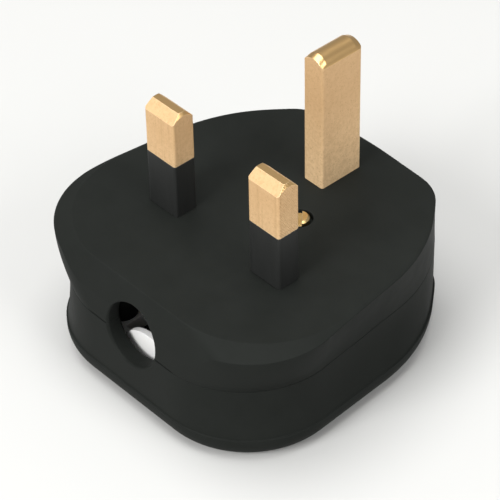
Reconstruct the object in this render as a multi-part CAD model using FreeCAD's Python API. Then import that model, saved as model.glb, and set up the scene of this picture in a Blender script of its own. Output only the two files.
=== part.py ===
import FreeCAD
import Part
import math
import os

# British three pin plug, rewireable, millimetres.
# It is drawn with the origin on the pin face, midway between the live and neutral pins:
# +Z runs along the pins, +Y runs to the earth pin, and depths count down from the pin face.
# The finished pieces are then moved so that the middle of the flat back is the origin.

# Pins, to the sizes of the British standard
pin_spacing = 22.23
earth_offset = 22.23
blade_width = 6.35
blade_thickness = 4.0
blade_length = 18.6
earth_width = 4.0
earth_depth = 8.0
earth_length = 23.7
blade_edge_round = 0.4
blade_tip_drop = 1.5
blade_tip_side = 1.4
blade_tip_end = 0.3
earth_tip_drop = 1.5
earth_tip_end = 1.0
earth_tip_end_drop = 0.45
sleeve_length = 9.5
sleeve_wall = 0.8

# Depths of the body, down from the pin face
thickness = 22.0
brow_depth = 2.4
grip_depth = 4.8
parting_depth = 9.0
groove_height = 0.06
groove_depth = 0.08
cover_waist_depth = 13.2
step_depth = 17.8

# Half width of the body at the live and neutral pins, then how far each level stands out or in from it
face_half = 25.2
brow_spread = 2.7
edge_out = 0.6
grip_in = 0.6
waist_in = 1.9
cover_low_in = 1.0
band_in = 0.85

# Cable end of the body, level by level
face_cable_end = -16.5
brow_cable_end = -17.25
edge_cable_end = -17.6
grip_cable_end = -17.9
waist_cable_end = -18.5
cover_waist_cable_end = -18.8
cover_low_cable_end = -18.9
band_cable_end = -19.05
brow_inset = 0.05

# Earth end with its half width between the slanted shoulders, then slopes and corner radii
face_earth_end = 31.2
edge_earth_end = 31.5
grip_earth_end = 32.0
cover_earth_end = 32.6
band_earth_end = 32.75
face_earth_half = 13.5
edge_earth_half = 13.7
grip_earth_half = 13.2
cover_earth_half = 12.75
band_earth_half = 13.0
earth_crown_slope = 0.045
earth_crown_radius = 60.0
shoulder_slope = 0.84
face_taper = 0.13
waist_taper = 0.1
band_taper = 0.06
face_corner_radius = 16.0
edge_corner_radius = 13.0
waist_corner_radius = 15.3
shoulder_round_share = 0.56
earth_corner_radius = 8.0
back_edge_round = 3.6

# Walls of the hollow body
face_plate = 3.2
side_wall = 2.4
back_wall = 2.2

# Cord entry
cord_hole_radius = 5.2
cord_hole_depth = 8.0
cord_mouth_chamfer = 0.3

# Cover screw with its boss, post and insert
screw_x = 4.5
screw_y = 11.2
screw_head_radius = 1.55
screw_head_height = 1.5
screw_head_proud = 0.4
screw_head_chamfer = 0.3
screw_shank_radius = 1.1
screw_length = 15.0
screw_slot_width = 0.8
screw_slot_depth = 0.7
screw_slot_angle = 135.0
screw_clearance = 0.2
counterbore_radius = 2.1
boss_radius = 3.8
insert_radius = 2.4
insert_length = 6.0
insert_well = 1.5
retainer_radius = 2.7
retainer_thickness = 0.8

# Terminals and their screws
terminal_width = 7.4
terminal_length = 8.6
terminal_height = 7.0
terminal_plate = 2.6
wire_hole_radius = 1.7
terminal_screw_radius = 1.6
terminal_head_radius = 2.4
terminal_head_height = 1.8
washer_radius = 2.8
washer_thickness = 0.6
load_block_x = -4.2
load_block_y = 13.1
load_block_width = 5.6
load_block_length = 6.4
load_plate_margin = 1.0

# Fuse and its clips
fuse_radius = 3.175
fuse_length = 25.4
fuse_cap_length = 6.0
fuse_tube_radius = 2.9
fuse_middle = 8.1
clip_metal = 0.7
clip_width = 5.0
clip_wrap = 1.6
clip_lip = 0.5
rivet_radius = 1.0
rivet_recess = 0.3

# Cord grip, its posts and screws
grip_bar_half = 12.5
grip_bar_width = 5.6
grip_bar_thickness = 2.5
grip_bar_gap = 1.1
grip_ear_depth = 13.0
grip_rib_thickness = 1.0
grip_hump_radius = 6.5
grip_hump_depth = 10.3
grip_screw_spacing = 19.4
grip_post_radius = 2.7
grip_screw_radius = 1.5
grip_screw_length = 8.0
grip_head_radius = 2.4
grip_head_height = 1.8
slot_share = 0.35

live_x = -pin_spacing / 2
neutral_x = pin_spacing / 2
fuse_start = fuse_middle - fuse_length / 2
floor_depth = thickness - back_wall
up = FreeCAD.Vector(0, 0, 1)
along = FreeCAD.Vector(0, 1, 0)


# One level of the body: half widths at the pins and at the earth end, ends along Y, side taper
def level(half_width, cable_end, earth_half, earth_end, taper, corner_radius):
    return {"half_width": half_width, "cable_end": cable_end, "earth_half": earth_half, "earth_end": earth_end,
            "taper": taper, "corner_radius": corner_radius}


def waist_level(half_width, cable_end, earth_half, earth_end, taper):
    return level(half_width, cable_end, earth_half, earth_end, taper, waist_corner_radius)


# One level of the brow, which spreads wider than the walls on every side but the cable end
def brow_level(cable_end, depth):
    spread = brow_spread * depth
    return level(face_half + spread, cable_end, face_earth_half + spread, face_earth_end + spread,
                 face_taper, face_corner_radius)


waist_half = face_half - waist_in
face = level(face_half, face_cable_end, face_earth_half, face_earth_end, face_taper, face_corner_radius)
edge = level(face_half + edge_out, edge_cable_end, edge_earth_half, edge_earth_end, face_taper, edge_corner_radius)
grip = level(face_half - grip_in, grip_cable_end, grip_earth_half, grip_earth_end, face_taper, edge_corner_radius)
waist = waist_level(waist_half, waist_cable_end, cover_earth_half, cover_earth_end, waist_taper)
cover_top = waist_level(waist_half, waist_cable_end, cover_earth_half, cover_earth_end, waist_taper)
cover_waist = waist_level(waist_half, cover_waist_cable_end, cover_earth_half, cover_earth_end, waist_taper)
cover_low = waist_level(face_half - cover_low_in, cover_low_cable_end, cover_earth_half, cover_earth_end, band_taper)
band = waist_level(face_half - band_in, band_cable_end, band_earth_half, band_earth_end, band_taper)


# A closed wire through corner points, each corner rounded to its own radius
def rounded_wire(points, radii):
    starts = []
    middles = []
    ends = []
    for index, corner in enumerate(points):
        back = (points[index - 1] - corner).normalize()
        ahead = (points[(index + 1) % len(points)] - corner).normalize()
        inward = (back + ahead).normalize()
        half_angle = back.getAngle(ahead) / 2
        reach = radii[index] / math.tan(half_angle)
        centre = corner + inward * (radii[index] / math.sin(half_angle))
        starts.append(corner + back * reach)
        middles.append(centre - inward * radii[index])
        ends.append(corner + ahead * reach)
    edges = []
    for index in range(len(points)):
        edges.append(Part.Arc(starts[index], middles[index], ends[index]).toShape())
        edges.append(Part.makeLine(ends[index], starts[(index + 1) % len(points)]))
    return Part.Wire(edges)


# The body outline at one level: cable end, tapered sides, slanted shoulders, low crown at the earth end
def outline(body_level, depth, inset):
    taper = body_level["taper"]
    cable_end = body_level["cable_end"] + inset
    crown_turn = math.atan(earth_crown_slope)
    crown_peak = body_level["earth_end"] - inset + earth_crown_radius * (1 / math.cos(crown_turn) - 1)
    earth_end = crown_peak - earth_crown_slope * body_level["earth_half"]
    half_width = body_level["half_width"] - inset * math.hypot(1, taper)
    earth_half = body_level["earth_half"] + inset * (shoulder_slope - math.hypot(1, shoulder_slope))
    shoulder_y = (earth_half + shoulder_slope * earth_end - half_width) / (shoulder_slope - taper)
    right_side = [
        FreeCAD.Vector(half_width - taper * cable_end, cable_end, -depth),
        FreeCAD.Vector(half_width - taper * shoulder_y, shoulder_y, -depth),
        FreeCAD.Vector(earth_half, earth_end, -depth),
    ]
    crown = [FreeCAD.Vector(0, crown_peak, -depth)]
    left_side = [FreeCAD.Vector(-point.x, point.y, point.z) for point in reversed(right_side)]
    shoulder_turn = math.atan(shoulder_slope) - math.atan(taper)
    shoulder_reach = shoulder_round_share * right_side[1].distanceToPoint(right_side[2])
    shoulder_radius = shoulder_reach / math.tan(shoulder_turn / 2)
    radii = [body_level["corner_radius"] - inset, shoulder_radius, earth_corner_radius - inset]
    return rounded_wire(right_side + crown + left_side, radii + [earth_crown_radius] + radii[::-1])


def rounded_rectangle(centre_x, centre_y, width, length, radius, z):
    half_width = width / 2
    half_length = length / 2
    points = [
        FreeCAD.Vector(centre_x + half_width, centre_y - half_length, z),
        FreeCAD.Vector(centre_x + half_width, centre_y + half_length, z),
        FreeCAD.Vector(centre_x - half_width, centre_y + half_length, z),
        FreeCAD.Vector(centre_x - half_width, centre_y - half_length, z),
    ]
    return rounded_wire(points, [radius] * len(points))


def prism(wire, height):
    return Part.Face(wire).extrude(up * height)


def block(centre_x, centre_y, width, length, low, high):
    corner = FreeCAD.Vector(centre_x - width / 2, centre_y - length / 2, low)
    return Part.makeBox(width, length, high - low, corner)


def cylinder(radius, centre_x, centre_y, low, high):
    return Part.makeCylinder(radius, high - low, FreeCAD.Vector(centre_x, centre_y, low), up)


def rod_along(radius, centre_x, start_y, end_y, z):
    return Part.makeCylinder(radius, end_y - start_y, FreeCAD.Vector(centre_x, start_y, z), along)


# The hollow inside, one straight well through base and cover
def well(top_depth, bottom_depth):
    return prism(outline(waist, bottom_depth, side_wall), bottom_depth - top_depth)


# The round cord entry with its chamfered mouth, which follows the slope of the cable end
def cord_entry():
    slope = (grip_cable_end - cover_waist_cable_end) / (cover_waist_depth - grip_depth)
    inner_end = waist_cable_end + side_wall
    mouth_end = band_cable_end - cord_mouth_chamfer
    mouth_face = (grip_cable_end + cover_waist_cable_end) / 2
    bore = rod_along(cord_hole_radius, 0, mouth_end, inner_end + cord_mouth_chamfer, -cord_hole_depth)
    inner_radius = cord_hole_radius - cord_mouth_chamfer
    outer_radius = cord_hole_radius + 2 * cord_mouth_chamfer
    inner_centre = FreeCAD.Vector(0, 2 * cord_mouth_chamfer, 0)
    bell = Part.makeCone(inner_radius, outer_radius, outer_radius - inner_radius, inner_centre, -along)
    bell.rotate(FreeCAD.Vector(0, 0, 0), FreeCAD.Vector(1, 0, 0), -math.degrees(math.atan(slope)))
    bell.translate(FreeCAD.Vector(0, mouth_face, -cord_hole_depth))
    return bore.fuse(bell)


def pin_holes():
    low = -face_plate
    live_hole = prism(rounded_rectangle(live_x, 0, blade_width, blade_thickness, blade_edge_round, low), face_plate)
    neutral_hole = prism(rounded_rectangle(neutral_x, 0, blade_width, blade_thickness, blade_edge_round, low), face_plate)
    earth_hole = prism(rounded_rectangle(0, earth_offset, earth_width, earth_depth, blade_edge_round, low), face_plate)
    return [live_hole, neutral_hole, earth_hole]


def grip_places():
    place_y = waist_cable_end + side_wall + grip_bar_gap + grip_bar_width / 2
    return [(-grip_screw_spacing / 2, place_y), (grip_screw_spacing / 2, place_y)]


# The walls rise to a crisp edge at the pin face, and the brow rounds their front corners down to the cable end
def make_base():
    groove_top = parting_depth - groove_height
    walls = Part.makeLoft([outline(edge, 0, 0), outline(grip, grip_depth, 0),
                           outline(waist, groove_top, 0)], True, False)
    brow = Part.makeLoft([
        outline(face, 0, 0),
        outline(brow_level(brow_cable_end, brow_depth), brow_depth, 0),
        outline(brow_level(grip_cable_end + brow_inset, grip_depth), grip_depth, 0),
        outline(brow_level(waist_cable_end + brow_inset, parting_depth), parting_depth, 0),
    ], True, False)
    groove = Part.makeLoft([outline(waist, groove_top, 0),
                            outline(waist, parting_depth, groove_depth)], True, True)
    base = walls.common(brow).fuse(groove).cut(well(face_plate, parting_depth))
    boss = cylinder(boss_radius, screw_x, screw_y, -parting_depth, -face_plate)
    posts = [cylinder(grip_post_radius, x, y, -grip_ear_depth, -face_plate) for x, y in grip_places()]
    base = base.fuse([boss] + posts)
    seat_depth = screw_head_height - screw_head_proud
    screw_hole = cylinder(screw_shank_radius + screw_clearance, screw_x, screw_y, -parting_depth, 0)
    retainer_seat = cylinder(retainer_radius, screw_x, screw_y, -parting_depth, -parting_depth + retainer_thickness)
    counterbore = cylinder(counterbore_radius, screw_x, screw_y, -seat_depth, 0)
    grip_low = -grip_ear_depth
    grip_high = grip_low + grip_screw_length - grip_bar_thickness
    grip_holes = [cylinder(grip_screw_radius, x, y, grip_low, grip_high) for x, y in grip_places()]
    return base.cut(pin_holes() + grip_holes + [screw_hole, retainer_seat, counterbore, cord_entry()]).removeSplitter()


def make_cover():
    groove_bottom = parting_depth + groove_height
    groove = Part.makeLoft([outline(cover_top, parting_depth, groove_depth),
                            outline(cover_top, groove_bottom, 0)], True, True)
    flank = Part.makeLoft([outline(cover_top, groove_bottom, 0), outline(cover_waist, cover_waist_depth, 0),
                           outline(cover_low, step_depth, 0)], True, False)
    foot = prism(outline(band, thickness, 0), thickness - step_depth)
    back_edges = [edge for edge in foot.Edges if edge.BoundBox.ZMax < -step_depth - back_edge_round]
    foot = foot.makeFillet(back_edge_round, back_edges)
    cover = groove.fuse([flank, foot]).cut(well(parting_depth, floor_depth))
    post = cylinder(boss_radius, screw_x, screw_y, -floor_depth, -parting_depth)
    cover = cover.fuse(post)
    insert_seat = cylinder(insert_radius, screw_x, screw_y, -parting_depth - insert_length, -parting_depth)
    screw_well_low = -parting_depth - insert_length - insert_well
    screw_well = cylinder(screw_shank_radius + screw_clearance, screw_x, screw_y, screw_well_low, -parting_depth)
    return cover.cut([insert_seat, screw_well, cord_entry()]).removeSplitter()


# A slotted screw standing on +Z, its head seat at the given height
def slotted_screw(head_radius, head_height, shank_radius, length, slot_width, slot_depth):
    head = cylinder(head_radius, 0, 0, 0, head_height)
    top_edges = [edge for edge in head.Edges if edge.BoundBox.ZMin > head_height / 2]
    head = head.makeChamfer(screw_head_chamfer, top_edges)
    shank = cylinder(shank_radius, 0, 0, -length, 0)
    slot = block(0, 0, head_radius * 3, slot_width, head_height - slot_depth, head_height * 2)
    return head.fuse(shank).cut(slot)


def make_cover_screw():
    seat_depth = screw_head_height - screw_head_proud
    screw = slotted_screw(screw_head_radius, screw_head_height, screw_shank_radius,
                          screw_length - screw_head_height, screw_slot_width, screw_slot_depth)
    screw.rotate(FreeCAD.Vector(0, 0, 0), up, screw_slot_angle)
    screw.translate(FreeCAD.Vector(screw_x, screw_y, -seat_depth))
    return screw


# The washer that keeps the screw in the base when the cover is off
def make_screw_retainer():
    high = -parting_depth + retainer_thickness
    ring = cylinder(retainer_radius, screw_x, screw_y, -parting_depth, high)
    return ring.cut(cylinder(screw_shank_radius, screw_x, screw_y, -parting_depth, high))


def make_cover_insert():
    low = -parting_depth - insert_length
    sleeve = cylinder(insert_radius, screw_x, screw_y, low, -parting_depth)
    return sleeve.cut(cylinder(screw_shank_radius, screw_x, screw_y, low, -parting_depth))


# A terminal head under the pin face, drilled for the wire along Y and for its screw from below
def terminal_block(centre_x, centre_y, width, length):
    low = -face_plate - terminal_height
    wire_z = -face_plate - terminal_height / 2
    head = block(centre_x, centre_y, width, length, low, -face_plate)
    wire_hole = rod_along(wire_hole_radius, centre_x, centre_y - length, centre_y + length, wire_z)
    screw_hole = cylinder(terminal_screw_radius, centre_x, centre_y, low, wire_z)
    return head.cut([wire_hole, screw_hole])


# The tip of a live or neutral pin: two milled slopes along its width, ends turned to a cone
def blade_tip(centre_x, shoulder_z):
    half_width = blade_width / 2
    half_thickness = blade_thickness / 2
    half_flat = half_thickness - blade_tip_side
    start_x = centre_x - half_width
    slopes = Part.makePolygon([
        FreeCAD.Vector(start_x, -half_thickness, shoulder_z),
        FreeCAD.Vector(start_x, half_thickness, shoulder_z),
        FreeCAD.Vector(start_x, half_flat, blade_length),
        FreeCAD.Vector(start_x, -half_flat, blade_length),
        FreeCAD.Vector(start_x, -half_thickness, shoulder_z),
    ])
    gable = Part.Face(slopes).extrude(FreeCAD.Vector(blade_width, 0, 0))
    cone = Part.makeCone(math.hypot(half_width, half_thickness), half_width - blade_tip_end, blade_tip_drop,
                         FreeCAD.Vector(centre_x, 0, shoulder_z))
    stock_wire = rounded_rectangle(centre_x, 0, blade_width, blade_thickness, blade_edge_round, shoulder_z)
    return prism(stock_wire, blade_tip_drop).common(gable).common(cone)


# The brass part of a live or neutral pin, with a thin neck for the sleeve
def blade(centre_x):
    shoulder_z = blade_length - blade_tip_drop
    neck_width = blade_width - 2 * sleeve_wall
    neck_thickness = blade_thickness - 2 * sleeve_wall
    neck = prism(rounded_rectangle(centre_x, 0, neck_width, neck_thickness, blade_edge_round, -face_plate),
                 sleeve_length + face_plate)
    body_wire = rounded_rectangle(centre_x, 0, blade_width, blade_thickness, blade_edge_round, sleeve_length)
    body = prism(body_wire, shoulder_z - sleeve_length)
    tip = blade_tip(centre_x, shoulder_z)
    return neck.fuse([body, tip])


def make_neutral_pin():
    head = terminal_block(neutral_x, 0, terminal_width, terminal_length)
    return blade(neutral_x).fuse(head).removeSplitter()


def make_live_pin():
    head = block(live_x, 0, terminal_width, terminal_length, -face_plate - terminal_plate, -face_plate)
    return blade(live_x).fuse(head).cut(rivet_hole(live_clip_y())).removeSplitter()


# One bow across the earth pin's tip, standing on the shoulders
def tip_bow(y, shoulder_z, rise):
    half_width = earth_width / 2
    left = FreeCAD.Vector(-half_width, y, shoulder_z)
    right = FreeCAD.Vector(half_width, y, shoulder_z)
    crest = FreeCAD.Vector(0, y, shoulder_z + rise)
    return Part.Wire([Part.Arc(left, crest, right).toShape(), Part.makeLine(right, left)])


# The tip of the earth pin: a barrel along its depth that drops a little at both ends
def earth_tip(shoulder_z):
    near = earth_offset - earth_depth / 2
    far = earth_offset + earth_depth / 2
    end_rise = earth_tip_drop - earth_tip_end_drop
    barrel = Part.makeLoft([
        tip_bow(near, shoulder_z, end_rise),
        tip_bow(near + earth_tip_end, shoulder_z, earth_tip_drop),
        tip_bow(far - earth_tip_end, shoulder_z, earth_tip_drop),
        tip_bow(far, shoulder_z, end_rise),
    ], True, True)
    stock_wire = rounded_rectangle(0, earth_offset, earth_width, earth_depth, blade_edge_round, shoulder_z)
    return prism(stock_wire, 2 * earth_tip_drop).common(barrel)


def make_earth_pin():
    shoulder_z = earth_length - earth_tip_drop
    body_wire = rounded_rectangle(0, earth_offset, earth_width, earth_depth, blade_edge_round, -face_plate)
    body = prism(body_wire, shoulder_z + face_plate)
    tip = earth_tip(shoulder_z)
    head = terminal_block(0, earth_offset, terminal_width, earth_depth + 2 * sleeve_wall)
    return body.fuse([tip, head]).removeSplitter()


def make_sleeve(centre_x):
    neck_width = blade_width - 2 * sleeve_wall
    neck_thickness = blade_thickness - 2 * sleeve_wall
    height = sleeve_length + face_plate
    outside = prism(rounded_rectangle(centre_x, 0, blade_width, blade_thickness, blade_edge_round, -face_plate), height)
    inside = prism(rounded_rectangle(centre_x, 0, neck_width, neck_thickness, blade_edge_round, -face_plate), height)
    return outside.cut(inside)


def live_clip_y():
    return fuse_start + fuse_cap_length / 2


def load_clip_y():
    return fuse_start + fuse_length - fuse_cap_length / 2


# A rivet through a fuse clip and the plate that carries it, sunk a little below the fuse cap
def clip_rivet(centre_y):
    low = fuse_axis_z() + fuse_radius + rivet_recess
    return cylinder(rivet_radius, live_x, centre_y, low, -face_plate)


def rivet_hole(centre_y):
    return cylinder(rivet_radius, live_x, centre_y, fuse_axis_z(), -face_plate)


def make_clip_rivets():
    return Part.makeCompound([clip_rivet(live_clip_y()), clip_rivet(load_clip_y())])


def make_load_terminal():
    low = -face_plate - terminal_plate
    plate_right = load_block_x - load_block_width / 2
    plate_left = live_x - terminal_width / 2
    plate_end = load_clip_y() + clip_width / 2 + load_plate_margin
    plate_corner = FreeCAD.Vector(plate_left, load_block_y, low)
    plate = Part.makeBox(plate_right - plate_left, plate_end - load_block_y, terminal_plate, plate_corner)
    head = terminal_block(load_block_x, load_block_y, load_block_width, load_block_length)
    return plate.fuse(head).cut(rivet_hole(load_clip_y())).removeSplitter()


# The fuse lies along Y under the live pin, held by a spring clip at each cap
def fuse_axis_z():
    return -face_plate - terminal_plate - clip_metal - fuse_radius


def make_fuse_clip(centre_y):
    high = -face_plate - terminal_plate
    low = fuse_axis_z() - clip_wrap
    axis_z = fuse_axis_z()
    outside = block(live_x, centre_y, 2 * (fuse_radius + clip_metal), clip_width, low, high)
    cap_room = rod_along(fuse_radius, live_x, centre_y - clip_width, centre_y + clip_width, axis_z)
    mouth_width = 2 * math.sqrt(fuse_radius ** 2 - clip_wrap ** 2)
    mouth = block(live_x, centre_y, mouth_width, clip_width * 2, low - clip_lip, axis_z)
    return outside.cut([cap_room, mouth, rivet_hole(centre_y)])


def make_fuse_tube():
    tube_start = fuse_start + fuse_cap_length
    tube_end = fuse_start + fuse_length - fuse_cap_length
    return rod_along(fuse_tube_radius, live_x, tube_start, tube_end, fuse_axis_z())


def make_fuse_caps():
    near_end = fuse_start + fuse_cap_length
    far_start = fuse_start + fuse_length - fuse_cap_length
    near_cap = rod_along(fuse_radius, live_x, fuse_start, near_end, fuse_axis_z())
    far_cap = rod_along(fuse_radius, live_x, far_start, fuse_start + fuse_length, fuse_axis_z())
    return Part.makeCompound([near_cap, far_cap])


def hanging_screw(place, seat_z, head_radius, head_height, shank_radius, shank_length):
    screw = slotted_screw(head_radius, head_height, shank_radius, shank_length,
                          head_radius * slot_share, head_height * slot_share)
    screw.rotate(FreeCAD.Vector(0, 0, 0), along, 180)
    screw.translate(FreeCAD.Vector(place[0], place[1], seat_z))
    return screw


def terminal_places():
    return [(neutral_x, 0), (0, earth_offset), (load_block_x, load_block_y)]


def make_terminal_screws():
    seat_z = -face_plate - terminal_height - washer_thickness
    screws = [hanging_screw(place, seat_z, terminal_head_radius, terminal_head_height, terminal_screw_radius,
                            terminal_height / 2 + washer_thickness) for place in terminal_places()]
    return Part.makeCompound(screws)


def make_terminal_washers():
    high = -face_plate - terminal_height
    low = high - washer_thickness
    washers = [cylinder(washer_radius, x, y, low, high).cut(cylinder(terminal_screw_radius, x, y, low, high))
               for x, y in terminal_places()]
    return Part.makeCompound(washers)


# The cord grip: two ears joined by a thin rib that rises to a hump under the cord
def make_cord_grip():
    middle_y = grip_places()[0][1]
    low = -grip_ear_depth - grip_bar_thickness
    bar = block(0, middle_y, 2 * grip_bar_half, grip_bar_width, low, -grip_ear_depth)
    hump_start = middle_y - grip_bar_width / 2
    rib_end = hump_start + grip_rib_thickness
    hump = rod_along(grip_hump_radius, 0, hump_start, rib_end, -grip_hump_depth - grip_hump_radius)
    behind_rib = block(0, rib_end + grip_bar_width / 2, 2 * grip_hump_radius, grip_bar_width, low, -grip_ear_depth)
    below = block(0, middle_y, 4 * grip_hump_radius, 2 * grip_bar_width, low - 2 * grip_hump_radius, low)
    holes = [cylinder(grip_screw_radius, x, y, low, -grip_ear_depth) for x, y in grip_places()]
    return bar.cut(behind_rib).fuse(hump).cut([below] + holes).removeSplitter()


def make_cord_grip_screws():
    seat_z = -grip_ear_depth - grip_bar_thickness
    screws = [hanging_screw(place, seat_z, grip_head_radius, grip_head_height,
                            grip_screw_radius, grip_screw_length) for place in grip_places()]
    return Part.makeCompound(screws)


pieces = {
    "base": make_base(),
    "cover": make_cover(),
    "earth_pin": make_earth_pin(),
    "neutral_pin": make_neutral_pin(),
    "live_pin": make_live_pin(),
    "neutral_sleeve": make_sleeve(neutral_x),
    "live_sleeve": make_sleeve(live_x),
    "cover_screw": make_cover_screw(),
    "cover_screw_retainer": make_screw_retainer(),
    "cover_insert": make_cover_insert(),
    "load_terminal": make_load_terminal(),
    "live_fuse_clip": make_fuse_clip(live_clip_y()),
    "load_fuse_clip": make_fuse_clip(load_clip_y()),
    "clip_rivets": make_clip_rivets(),
    "fuse_tube": make_fuse_tube(),
    "fuse_caps": make_fuse_caps(),
    "terminal_screws": make_terminal_screws(),
    "terminal_washers": make_terminal_washers(),
    "cord_grip": make_cord_grip(),
    "cord_grip_screws": make_cord_grip_screws(),
}

# The middle of the flat back becomes the origin
to_back_centre = FreeCAD.Vector(0, -(band_cable_end + band_earth_end) / 2, thickness)
os.makedirs("parts", exist_ok=True)
for name, shape in pieces.items():
    shape.translate(to_back_centre)
    shape.exportStep("parts/" + name + ".step")
    print(name, len(shape.Solids), shape.isValid(), round(shape.Volume, 1))
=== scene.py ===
import math
import bpy
from mathutils import Euler, Matrix, Vector


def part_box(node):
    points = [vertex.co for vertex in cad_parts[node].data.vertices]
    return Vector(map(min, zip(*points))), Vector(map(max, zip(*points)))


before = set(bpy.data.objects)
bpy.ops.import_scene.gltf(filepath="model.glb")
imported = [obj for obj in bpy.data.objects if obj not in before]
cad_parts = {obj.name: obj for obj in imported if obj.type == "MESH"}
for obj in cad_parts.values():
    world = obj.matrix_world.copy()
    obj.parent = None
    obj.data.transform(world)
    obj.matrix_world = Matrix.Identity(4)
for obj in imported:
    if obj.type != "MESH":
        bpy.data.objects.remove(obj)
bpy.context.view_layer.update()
print("frame loaded:", len(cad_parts), "CAD nodes")

mmInMetre = 1000.0
reliefMm = 0.1  # height of a full bump, before its strength
noiseLow = 0.3  # most of a noise lies between these two
noiseHigh = 0.7
wavePeriod = math.pi / 10  # length of one wave of the Wave texture at a scale of 1

# Sockets of the Mix node: its names are the same for every kind of data, so they go by number
mixShare = 0
mixFrom = 6
mixTo = 7
mixColour = 2  # output
floatFrom = 2
floatTo = 3
mixFloat = 0  # output


# sRGB hex to the linear colour that shaders and lights expect
def hexColour(code):
    parts = [int(code[i:i + 2], 16) / 255 for i in (1, 3, 5)]
    linear = [p / 12.92 if p <= 0.04045 else ((p + 0.055) / 1.055) ** 2.4 for p in parts]
    return (*linear, 1.0)


# Object coordinates are in metres, so a feature of this many millimetres needs this texture scale
def scaleFor(sizeMm):
    return mmInMetre / sizeMm


# Adds one node: values go into its sockets, as numbers or as links from other sockets
def addNode(tree, kind, values=None, **settings):
    node = tree.nodes.new(kind)
    for name, value in settings.items():
        setattr(node, name, value)
    for socket, value in (values or {}).items():
        if isinstance(value, bpy.types.NodeSocket):
            tree.links.new(value, node.inputs[socket])
        else:
            node.inputs[socket].default_value = value
    return node


def newMaterial(name):
    material = bpy.data.materials.new(name)
    material.use_nodes = True
    material.node_tree.nodes.clear()
    return material, material.node_tree


# How far the rounded normal turns from the flat one, as a cosine, where an edge begins and where it is full
edgeLook = {"begins": 0.998, "full": 0.86, "samples": 6}


# Rounds the look of hard edges and tells where they are: returns the rounded normal and a mask from 0 to 1
def edgeNodes(tree, radiusMm):
    bevel = addNode(tree, "ShaderNodeBevel", {"Radius": radiusMm / mmInMetre}, samples=edgeLook["samples"])
    geometry = addNode(tree, "ShaderNodeNewGeometry")
    turned = addNode(tree, "ShaderNodeVectorMath", {
        0: bevel.outputs["Normal"],
        1: geometry.outputs["Normal"]}, operation="DOT_PRODUCT")
    mask = addNode(tree, "ShaderNodeMapRange", {
        "Value": turned.outputs["Value"],
        "From Min": edgeLook["begins"],
        "From Max": edgeLook["full"]})
    return bevel.outputs["Normal"], mask.outputs["Result"]


# Black urea, pressed in a finely blasted steel tool: matt black with a faint green cast and hardly any shine,
# a grain that breaks up what shine there is, and edges rubbed a shade paler
bodyFinish = {
    "deep": "#1c1e1c", "pale": "#242624", "wearAndPaintedLight": "#2a2c2a",
    "mottleMm": 6.0, "grainMm": 0.28, "grainDepth": 0.10, "edgeMm": 0.30,
    "roughLow": 0.44, "roughHigh": 0.56, "gloss": 0.03, "ior": 1.5,
}


def pressedBlackUrea():
    material, tree = newMaterial("pressedBlackUrea")
    place = addNode(tree, "ShaderNodeTexCoord").outputs["Object"]
    roundedNormal, edgeMask = edgeNodes(tree, bodyFinish["edgeMm"])
    mottle = addNode(tree, "ShaderNodeTexNoise", {
        "Vector": place, "Scale": scaleFor(bodyFinish["mottleMm"]), "Detail": 4.0, "Roughness": 0.6})
    grain = addNode(tree, "ShaderNodeTexNoise", {
        "Vector": place, "Scale": scaleFor(bodyFinish["grainMm"]), "Detail": 2.0, "Roughness": 0.5})
    shade = addNode(tree, "ShaderNodeMix", {
        mixShare: mottle.outputs["Fac"],
        mixFrom: hexColour(bodyFinish["deep"]),
        mixTo: hexColour(bodyFinish["pale"])}, data_type="RGBA")
    wearBreak = addNode(tree, "ShaderNodeMath", {
        0: edgeMask,
        1: mottle.outputs["Fac"]}, operation="MULTIPLY")
    worn = addNode(tree, "ShaderNodeMix", {
        mixShare: wearBreak.outputs[0],
        mixFrom: shade.outputs[mixColour],
        mixTo: hexColour(bodyFinish["wearAndPaintedLight"])}, data_type="RGBA")
    rough = addNode(tree, "ShaderNodeMapRange", {
        "Value": mottle.outputs["Fac"], "From Min": noiseLow, "From Max": noiseHigh,
        "To Min": bodyFinish["roughLow"], "To Max": bodyFinish["roughHigh"]})
    bump = addNode(tree, "ShaderNodeBump", {
        "Strength": bodyFinish["grainDepth"], "Distance": reliefMm / mmInMetre,
        "Height": grain.outputs["Fac"], "Normal": roundedNormal})
    shader = addNode(tree, "ShaderNodeBsdfPrincipled", {
        "Base Color": worn.outputs[mixColour], "Roughness": rough.outputs["Result"],
        "IOR": bodyFinish["ior"], "Specular IOR Level": bodyFinish["gloss"],
        "Normal": bump.outputs["Normal"]})
    addNode(tree, "ShaderNodeOutputMaterial", {"Surface": shader.outputs[0]})
    return material


# Black nylon moulded round the brass: a shade greyer and smoother than the body, with faint flow lines
# along the pin
sleeveFinish = {
    "deep": "#202120", "pale": "#2c2d2c", "wearAndPaintedLight": "#424342",
    "flowMm": 0.35, "flowLengthMm": 7.0, "flowDepth": 0.08, "edgeMm": 0.25,
    "roughLow": 0.38, "roughHigh": 0.50, "gloss": 0.3, "ior": 1.53,
}


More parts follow.
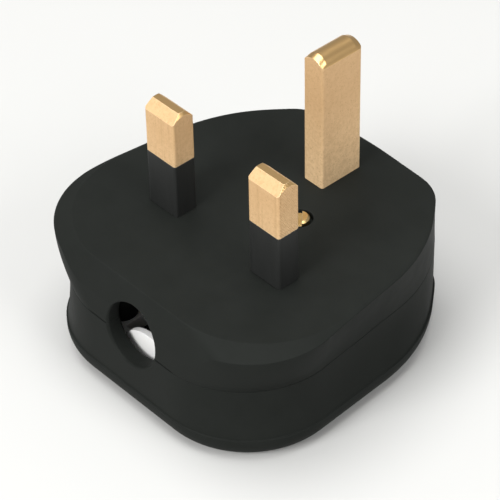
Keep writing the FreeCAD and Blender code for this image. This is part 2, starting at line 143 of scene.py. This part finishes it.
def mouldedBlackNylon():
    material, tree = newMaterial("mouldedBlackNylon")
    place = addNode(tree, "ShaderNodeTexCoord").outputs["Object"]
    roundedNormal, edgeMask = edgeNodes(tree, sleeveFinish["edgeMm"])
    across = scaleFor(sleeveFinish["flowMm"])
    stretched = addNode(tree, "ShaderNodeMapping", {
        "Vector": place, "Scale": (across, across, scaleFor(sleeveFinish["flowLengthMm"]))})
    flow = addNode(tree, "ShaderNodeTexNoise", {
        "Vector": stretched.outputs["Vector"], "Scale": 1.0, "Detail": 3.0})
    shade = addNode(tree, "ShaderNodeMix", {
        mixShare: flow.outputs["Fac"],
        mixFrom: hexColour(sleeveFinish["deep"]),
        mixTo: hexColour(sleeveFinish["pale"])}, data_type="RGBA")
    worn = addNode(tree, "ShaderNodeMix", {
        mixShare: edgeMask,
        mixFrom: shade.outputs[mixColour],
        mixTo: hexColour(sleeveFinish["wearAndPaintedLight"])}, data_type="RGBA")
    rough = addNode(tree, "ShaderNodeMapRange", {
        "Value": flow.outputs["Fac"],
        "To Min": sleeveFinish["roughLow"], "To Max": sleeveFinish["roughHigh"]})
    bump = addNode(tree, "ShaderNodeBump", {
        "Strength": sleeveFinish["flowDepth"], "Distance": reliefMm / mmInMetre,
        "Height": flow.outputs["Fac"], "Normal": roundedNormal})
    shader = addNode(tree, "ShaderNodeBsdfPrincipled", {
        "Base Color": worn.outputs[mixColour], "Roughness": rough.outputs["Result"],
        "IOR": sleeveFinish["ior"], "Specular IOR Level": sleeveFinish["gloss"],
        "Normal": bump.outputs["Normal"]})
    addNode(tree, "ShaderNodeOutputMaterial", {"Surface": shader.outputs[0]})
    return material


# Drawn brass bar, milled at the tip: the drawn sides have gone dull, pale gold with faint lines along the bar
# and fine pits, and shine only a third like metal, while the freshly cut tip has sharp highlights and a
# deeper gold that is partly its own tone and partly painted shade on the faces that look up; painted light
# keeps each foot paler
brassFinish = {
    "clean": "#f8d6a6", "dull": "#c39b6c", "pit": "#a87f4c", "burnished": "#f8dcb0", "cut": "#dfb87f",
    "lineMm": 0.22, "lineLengthMm": 5.0, "lineDepth": 0.12, "edgeMm": 0.16,
    "pitMm": 0.24, "pitFrom": 0.58, "pitTo": 0.72, "pitShare": 0.42,
    "cloudMm": 0.6, "cloudFrom": 0.36, "cloudTo": 0.68, "cloudShare": 0.36,
    # Heights over which the painted light at a pin's foot fades, and how far the colour deepens by the tip
    "footMm": 23, "tipMm": 37, "paintedFootLight": 0.65,
    "markMm": 0.55, "markLengthMm": 24.0, "markFrom": 0.50, "markTo": 0.66, "markShare": 0.20,
    "millMm": 0.34, "millTurn": 52, "millDepth": 0.45, "millWander": 0.6, "millFrom": 0.8, "millTo": 0.95,
    "upFrom": 0.12, "upTo": 0.30, "slopeFrom": 0.54, "slopeTo": 0.66,
    "sideMetal": 0.32, "cutMetal": 1.0, "roughLow": 0.56, "roughHigh": 0.70, "cutRough": 0.30,
}


def drawnBrass(name, marked, milled):
    material, tree = newMaterial(name)
    coordinates = addNode(tree, "ShaderNodeTexCoord")
    place = coordinates.outputs["Object"]
    facing = addNode(tree, "ShaderNodeSeparateXYZ", {0: coordinates.outputs["Normal"]})
    roundedNormal, edgeMask = edgeNodes(tree, brassFinish["edgeMm"])
    # The cut is what faces up, apart from the two slopes that face along Y, which are as dull as the sides;
    # the deeper colour it gets there is partly painted shade
    upward = addNode(tree, "ShaderNodeMapRange", {
        "Value": facing.outputs["Z"], "From Min": brassFinish["upFrom"], "From Max": brassFinish["upTo"]})
    endways = addNode(tree, "ShaderNodeMath", {0: facing.outputs["Y"]}, operation="ABSOLUTE")
    notSlope = addNode(tree, "ShaderNodeMapRange", {
        "Value": endways.outputs[0],
        "From Min": brassFinish["slopeTo"], "From Max": brassFinish["slopeFrom"]})
    cutTip = addNode(tree, "ShaderNodeMath", {
        0: upward.outputs["Result"],
        1: notSlope.outputs["Result"]}, operation="MULTIPLY")
    across = scaleFor(brassFinish["lineMm"])
    stretched = addNode(tree, "ShaderNodeMapping", {
        "Vector": place, "Scale": (across, across, scaleFor(brassFinish["lineLengthMm"]))})
    lines = addNode(tree, "ShaderNodeTexNoise", {
        "Vector": stretched.outputs["Vector"], "Scale": 1.0, "Detail": 3.0, "Roughness": 0.6})
    cloud = addNode(tree, "ShaderNodeTexNoise", {
        "Vector": place, "Scale": scaleFor(brassFinish["cloudMm"]), "Detail": 4.0, "Roughness": 0.6})
    speck = addNode(tree, "ShaderNodeTexNoise", {
        "Vector": place, "Scale": scaleFor(brassFinish["pitMm"]), "Detail": 2.0, "Roughness": 0.5})
    pits = addNode(tree, "ShaderNodeMapRange", {
        "Value": speck.outputs["Fac"],
        "From Min": brassFinish["pitFrom"], "From Max": brassFinish["pitTo"],
        "To Max": brassFinish["pitShare"]})
    blotch = addNode(tree, "ShaderNodeMapRange", {
        "Value": cloud.outputs["Fac"],
        "From Min": brassFinish["cloudFrom"], "From Max": brassFinish["cloudTo"],
        "To Max": brassFinish["cloudShare"]})
    drawn = addNode(tree, "ShaderNodeMix", {
        mixShare: blotch.outputs["Result"],
        mixFrom: hexColour(brassFinish["clean"]),
        mixTo: hexColour(brassFinish["dull"])}, data_type="RGBA")
    # Painted light: the colour is kept pale at the foot of a pin, against the shade of the black pin face
    # there, and deepens from the foot to the tip
    height = addNode(tree, "ShaderNodeSeparateXYZ", {0: place})
    paintedFootLight = addNode(tree, "ShaderNodeMapRange", {
        "Value": height.outputs["Z"],
        "From Min": brassFinish["footMm"] / mmInMetre, "From Max": brassFinish["tipMm"] / mmInMetre,
        "To Max": brassFinish["paintedFootLight"]})
    # Painted light: paler at the foot, deeper towards the tip
    wearAndPaintedLight = addNode(tree, "ShaderNodeMix", {
        mixShare: paintedFootLight.outputs["Result"],
        mixFrom: drawn.outputs[mixColour],
        mixTo: hexColour(brassFinish["dull"])}, data_type="RGBA")
    side = wearAndPaintedLight.outputs[mixColour]
    if marked:
        # A few broad draw marks run along the two short pins
        wide = scaleFor(brassFinish["markMm"])
        markPlace = addNode(tree, "ShaderNodeMapping", {
            "Vector": place, "Scale": (wide, wide, scaleFor(brassFinish["markLengthMm"]))})
        marks = addNode(tree, "ShaderNodeTexNoise", {
            "Vector": markPlace.outputs["Vector"], "Scale": 1.0, "Detail": 2.0})
        markShare = addNode(tree, "ShaderNodeMapRange", {
            "Value": marks.outputs["Fac"],
            "From Min": brassFinish["markFrom"], "From Max": brassFinish["markTo"],
            "To Max": brassFinish["markShare"]})
        streaked = addNode(tree, "ShaderNodeMix", {
            mixShare: markShare.outputs["Result"],
            mixFrom: side,
            mixTo: hexColour(brassFinish["pit"])}, data_type="RGBA")
        side = streaked.outputs[mixColour]
    pitted = addNode(tree, "ShaderNodeMix", {
        mixShare: pits.outputs["Result"],
        mixFrom: side,
        mixTo: hexColour(brassFinish["pit"])}, data_type="RGBA")
    # Painted shade: the deeper colour on the up-facing flats and hips is partly the cut brass's own tone and
    # partly painted shade
    tipAndPaintedShade = addNode(tree, "ShaderNodeMix", {
        mixShare: cutTip.outputs[0],
        mixFrom: pitted.outputs[mixColour],
        mixTo: hexColour(brassFinish["cut"])}, data_type="RGBA")
    edged = addNode(tree, "ShaderNodeMix", {
        mixShare: edgeMask,
        mixFrom: tipAndPaintedShade.outputs[mixColour],
        mixTo: hexColour(brassFinish["burnished"])}, data_type="RGBA")
    metal = addNode(tree, "ShaderNodeMapRange", {
        "Value": cutTip.outputs[0], "To Min": brassFinish["sideMetal"], "To Max": brassFinish["cutMetal"]})
    sideRough = addNode(tree, "ShaderNodeMapRange", {
        "Value": lines.outputs["Fac"], "From Min": noiseLow, "From Max": noiseHigh,
        "To Min": brassFinish["roughLow"], "To Max": brassFinish["roughHigh"]})
    rough = addNode(tree, "ShaderNodeMix", {
        mixShare: cutTip.outputs[0],
        floatFrom: sideRough.outputs["Result"],
        floatTo: brassFinish["cutRough"]}, data_type="FLOAT")
    bump = addNode(tree, "ShaderNodeBump", {
        "Strength": brassFinish["lineDepth"], "Distance": reliefMm / mmInMetre,
        "Height": lines.outputs["Fac"], "Normal": roundedNormal})
    surface = bump.outputs["Normal"]
    if milled:
        # The cutter left slanting ridges on the narrow side, drawn coarser than life so that they show
        tilted = addNode(tree, "ShaderNodeMapping", {
            "Vector": place, "Rotation": (math.radians(brassFinish["millTurn"]), 0, 0)})
        ridges = addNode(tree, "ShaderNodeTexWave", {
            "Vector": tilted.outputs["Vector"], "Scale": scaleFor(brassFinish["millMm"]) * wavePeriod,
            "Distortion": brassFinish["millWander"], "Detail": 1.0}, bands_direction="Z")
        narrowSide = addNode(tree, "ShaderNodeMapRange", {
            "Value": facing.outputs["X"],
            "From Min": brassFinish["millFrom"], "From Max": brassFinish["millTo"]})
        depth = addNode(tree, "ShaderNodeMath", {
            0: ridges.outputs["Fac"],
            1: narrowSide.outputs["Result"]}, operation="MULTIPLY")
        ridged = addNode(tree, "ShaderNodeBump", {
            "Strength": brassFinish["millDepth"], "Distance": reliefMm / mmInMetre,
            "Height": depth.outputs[0], "Normal": surface})
        surface = ridged.outputs["Normal"]
    shader = addNode(tree, "ShaderNodeBsdfPrincipled", {
        "Base Color": edged.outputs[mixColour], "Metallic": metal.outputs["Result"],
        "Roughness": rough.outputs[mixFloat], "Normal": surface})
    addNode(tree, "ShaderNodeOutputMaterial", {"Surface": shader.outputs[0]})
    return material


# Turned brass of the small screw: yellower and shinier than the pins, with fine rings left by the lathe
screwFinish = {
    "clean": "#ecd096", "dull": "#b5914f", "burnished": "#fbe9bd",
    "cloudMm": 0.9, "ringMm": 0.12, "ringHighMm": 0.05, "ringDepth": 0.15, "ringWander": 0.4,
    "edgeMm": 0.12, "roughLow": 0.24, "roughHigh": 0.40,
}


def turnedBrass():
    material, tree = newMaterial("turnedBrass")
    place = addNode(tree, "ShaderNodeTexCoord").outputs["Object"]
    roundedNormal, edgeMask = edgeNodes(tree, screwFinish["edgeMm"])
    low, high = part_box("cover_screw")
    centred = addNode(tree, "ShaderNodeMapping", {"Vector": place, "Location": -(low + high) / 2})
    rings = addNode(tree, "ShaderNodeTexWave", {
        "Vector": centred.outputs["Vector"], "Scale": scaleFor(screwFinish["ringMm"]) * wavePeriod,
        "Distortion": screwFinish["ringWander"]}, wave_type="RINGS", rings_direction="Z")
    cloud = addNode(tree, "ShaderNodeTexNoise", {
        "Vector": place, "Scale": scaleFor(screwFinish["cloudMm"]), "Detail": 3.0})
    shade = addNode(tree, "ShaderNodeMix", {
        mixShare: cloud.outputs["Fac"],
        mixFrom: hexColour(screwFinish["clean"]),
        mixTo: hexColour(screwFinish["dull"])}, data_type="RGBA")
    edged = addNode(tree, "ShaderNodeMix", {
        mixShare: edgeMask,
        mixFrom: shade.outputs[mixColour],
        mixTo: hexColour(screwFinish["burnished"])}, data_type="RGBA")
    rough = addNode(tree, "ShaderNodeMapRange", {
        "Value": cloud.outputs["Fac"],
        "To Min": screwFinish["roughLow"], "To Max": screwFinish["roughHigh"]})
    bump = addNode(tree, "ShaderNodeBump", {
        "Strength": screwFinish["ringDepth"], "Distance": screwFinish["ringHighMm"] / mmInMetre,
        "Height": rings.outputs["Fac"], "Normal": roundedNormal})
    shader = addNode(tree, "ShaderNodeBsdfPrincipled", {
        "Base Color": edged.outputs[mixColour], "Metallic": 1.0,
        "Roughness": rough.outputs["Result"], "Normal": bump.outputs["Normal"]})
    addNode(tree, "ShaderNodeOutputMaterial", {"Surface": shader.outputs[0]})
    return material


# Natural nylon of the cord grip: milky white, softly shining, light glows a little way into it
gripFinish = {
    "white": "#ffffff", "warm": "#f8f7f2",
    "mottleMm": 2.5, "grainMm": 0.2, "grainDepth": 0.06, "edgeMm": 0.2,
    "roughLow": 0.32, "roughHigh": 0.44, "ior": 1.53,
    "glow": 0.08, "glowMm": 1.0, "glowReach": (1.0, 1.0, 0.9),
}


def mouldedWhiteNylon():
    material, tree = newMaterial("mouldedWhiteNylon")
    place = addNode(tree, "ShaderNodeTexCoord").outputs["Object"]
    roundedNormal, edgeMask = edgeNodes(tree, gripFinish["edgeMm"])
    mottle = addNode(tree, "ShaderNodeTexNoise", {
        "Vector": place, "Scale": scaleFor(gripFinish["mottleMm"]), "Detail": 3.0})
    grain = addNode(tree, "ShaderNodeTexNoise", {
        "Vector": place, "Scale": scaleFor(gripFinish["grainMm"]), "Detail": 2.0})
    shade = addNode(tree, "ShaderNodeMix", {
        mixShare: mottle.outputs["Fac"],
        mixFrom: hexColour(gripFinish["white"]),
        mixTo: hexColour(gripFinish["warm"])}, data_type="RGBA")
    worn = addNode(tree, "ShaderNodeMix", {
        mixShare: edgeMask,
        mixFrom: shade.outputs[mixColour],
        mixTo: hexColour(gripFinish["white"])}, data_type="RGBA")
    rough = addNode(tree, "ShaderNodeMapRange", {
        "Value": mottle.outputs["Fac"],
        "To Min": gripFinish["roughLow"], "To Max": gripFinish["roughHigh"]})
    bump = addNode(tree, "ShaderNodeBump", {
        "Strength": gripFinish["grainDepth"], "Distance": reliefMm / mmInMetre,
        "Height": grain.outputs["Fac"], "Normal": roundedNormal})
    shader = addNode(tree, "ShaderNodeBsdfPrincipled", {
        "Base Color": worn.outputs[mixColour], "Roughness": rough.outputs["Result"],
        "IOR": gripFinish["ior"], "Subsurface Weight": gripFinish["glow"],
        "Subsurface Radius": gripFinish["glowReach"], "Subsurface Scale": gripFinish["glowMm"] / mmInMetre,
        "Normal": bump.outputs["Normal"]})
    addNode(tree, "ShaderNodeOutputMaterial", {"Surface": shader.outputs[0]})
    return material


# Metals and ceramic inside the closed body: stamped spring bronze, bright nickel plate, blue-grey zinc plate
# and unglazed white ceramic, each told by its colour and by how evenly it shines, with edges rubbed clean
innerFinishes = {
    "stampedSpringBronze": {
        "clean": "#c98f5a", "dull": "#8e6038", "patchMm": 1.6, "metal": 1.0, "rough": 0.36, "edgeMm": 0.08},
    "brightNickelPlate": {
        "clean": "#d8d4cb", "dull": "#b9b4a8", "patchMm": 3.0, "metal": 1.0, "rough": 0.20, "edgeMm": 0.10},
    "bluedZincPlate": {
        "clean": "#c3c8cc", "dull": "#989da0", "patchMm": 0.8, "metal": 1.0, "rough": 0.32, "edgeMm": 0.10},
    "firedWhiteCeramic": {
        "clean": "#f1eee6", "dull": "#e0dccf", "patchMm": 2.2, "metal": 0.0, "rough": 0.60, "edgeMm": 0.15},
}
innerSpread = 0.08  # how far the roughness strays either way
innerDepth = 0.08  # bump strength of the patches


def innerMaterial(name):
    finish = innerFinishes[name]
    material, tree = newMaterial(name)
    place = addNode(tree, "ShaderNodeTexCoord").outputs["Object"]
    roundedNormal, edgeMask = edgeNodes(tree, finish["edgeMm"])
    patch = addNode(tree, "ShaderNodeTexNoise", {
        "Vector": place, "Scale": scaleFor(finish["patchMm"]), "Detail": 4.0, "Roughness": 0.6})
    shade = addNode(tree, "ShaderNodeMix", {
        mixShare: patch.outputs["Fac"],
        mixFrom: hexColour(finish["clean"]),
        mixTo: hexColour(finish["dull"])}, data_type="RGBA")
    worn = addNode(tree, "ShaderNodeMix", {
        mixShare: edgeMask,
        mixFrom: shade.outputs[mixColour],
        mixTo: hexColour(finish["clean"])}, data_type="RGBA")
    rough = addNode(tree, "ShaderNodeMapRange", {
        "Value": patch.outputs["Fac"],
        "To Min": finish["rough"] - innerSpread, "To Max": finish["rough"] + innerSpread})
    bump = addNode(tree, "ShaderNodeBump", {
        "Strength": innerDepth, "Distance": reliefMm / mmInMetre,
        "Height": patch.outputs["Fac"], "Normal": roundedNormal})
    shader = addNode(tree, "ShaderNodeBsdfPrincipled", {
        "Base Color": worn.outputs[mixColour], "Metallic": finish["metal"],
        "Roughness": rough.outputs["Result"], "Normal": bump.outputs["Normal"]})
    addNode(tree, "ShaderNodeOutputMaterial", {"Surface": shader.outputs[0]})
    return material


# Which finish each piece of the plug has
blackUrea = pressedBlackUrea()
blackNylon = mouldedBlackNylon()
plainBrass = drawnBrass("drawnBrass", marked=False, milled=False)
markedBrass = drawnBrass("drawnMarkedBrass", marked=True, milled=False)
milledBrass = drawnBrass("drawnMilledBrass", marked=True, milled=True)
screwBrass = turnedBrass()
whiteNylon = mouldedWhiteNylon()
springBronze = innerMaterial("stampedSpringBronze")
nickelPlate = innerMaterial("brightNickelPlate")
zincPlate = innerMaterial("bluedZincPlate")
ceramic = innerMaterial("firedWhiteCeramic")
finishOf = {
    "base": blackUrea, "cover": blackUrea,
    "earth_pin": plainBrass, "live_pin": markedBrass, "neutral_pin": milledBrass,
    "live_sleeve": blackNylon, "neutral_sleeve": blackNylon,
    "cover_screw": screwBrass, "cover_insert": screwBrass, "cover_screw_retainer": whiteNylon,
    "load_terminal": plainBrass, "live_fuse_clip": springBronze, "load_fuse_clip": springBronze,
    "clip_rivets": plainBrass, "fuse_tube": ceramic, "fuse_caps": nickelPlate,
    "terminal_screws": screwBrass, "terminal_washers": zincPlate,
    "cord_grip": whiteNylon, "cord_grip_screws": zincPlate,
}
for name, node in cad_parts.items():
    node.data.materials.clear()
    node.data.materials.append(finishOf[name])
print("finishes on", len(finishOf), "pieces")

# Studio: pale floor, soft key from the cord side, broad light from above, fill on the neutral side
studio = {
    "floorSize": 3.0, "floorColour": "#cacac8", "floorRough": 0.8, "floorGloss": 0.1,
    "worldColour": "#ffffff", "worldStrength": 0.40,
    "keyPlace": (0.03, -1.00, 0.74), "keySize": 0.6, "keyPower": 11.8,
    "topPlace": (-0.12, -0.05, 0.93), "topSize": 0.9, "topPower": 7.2,
    "fillPlace": (0.62, 0.06, 0.46), "fillSize": 0.4, "fillPower": 2.0,
}


def areaLight(name, place, size, power):
    lamp = bpy.data.lights.new(name, "AREA")
    lamp.shape = "DISK"
    lamp.size = size
    lamp.energy = power
    holder = bpy.data.objects.new(name, lamp)
    holder.location = place
    holder.rotation_euler = (-Vector(place)).to_track_quat("-Z", "Y").to_euler()
    bpy.context.scene.collection.objects.link(holder)


def paleFloor():
    bpy.ops.mesh.primitive_plane_add(size=studio["floorSize"])
    floor = bpy.context.object
    floor.name = "floor"
    material, tree = newMaterial("paleFloor")
    shader = addNode(tree, "ShaderNodeBsdfPrincipled", {
        "Base Color": hexColour(studio["floorColour"]),
        "Roughness": studio["floorRough"], "Specular IOR Level": studio["floorGloss"]})
    addNode(tree, "ShaderNodeOutputMaterial", {"Surface": shader.outputs[0]})
    floor.data.materials.append(material)


def paleWorld():
    world = bpy.data.worlds.new("paleWorld")
    world.use_nodes = True
    bpy.context.scene.world = world
    background = world.node_tree.nodes["Background"]
    background.inputs["Color"].default_value = hexColour(studio["worldColour"])
    background.inputs["Strength"].default_value = studio["worldStrength"]


paleFloor()
paleWorld()
areaLight("keyLight", studio["keyPlace"], studio["keySize"], studio["keyPower"])
areaLight("topLight", studio["topPlace"], studio["topSize"], studio["topPower"])
areaLight("fillLight", studio["fillPlace"], studio["fillSize"], studio["fillPower"])
bpy.context.scene.view_settings.view_transform = "Standard"
print("studio ready")

# Camera at the photograph's angle, a long lens from the cord side and the neutral pin's side
cameraSetup = {
    "aimMm": (1.275, -2.707, 17.917), "distanceMm": 385.8, "azimuth": 48.33, "elevation": 40.74,
    "roll": -1.20, "lens": 187.2, "sensor": 36.0, "nearMm": 10.0,
}


def photoCamera():
    lens = bpy.data.cameras.new("photoCamera")
    lens.lens = cameraSetup["lens"]
    lens.sensor_width = cameraSetup["sensor"]
    lens.clip_start = cameraSetup["nearMm"] / mmInMetre
    tilt = math.radians(90 - cameraSetup["elevation"])
    turn = Euler((tilt, 0, math.radians(cameraSetup["azimuth"]))).to_matrix()
    roll = Matrix.Rotation(math.radians(cameraSetup["roll"]), 3, "Z")
    aim = Vector(cameraSetup["aimMm"]) / mmInMetre
    holder = bpy.data.objects.new("photoCamera", lens)
    holder.rotation_euler = (turn @ roll).to_euler()
    holder.location = aim + turn @ Vector((0, 0, cameraSetup["distanceMm"] / mmInMetre))
    bpy.context.scene.collection.objects.link(holder)
    bpy.context.scene.camera = holder


photoCamera()
print("camera ready")
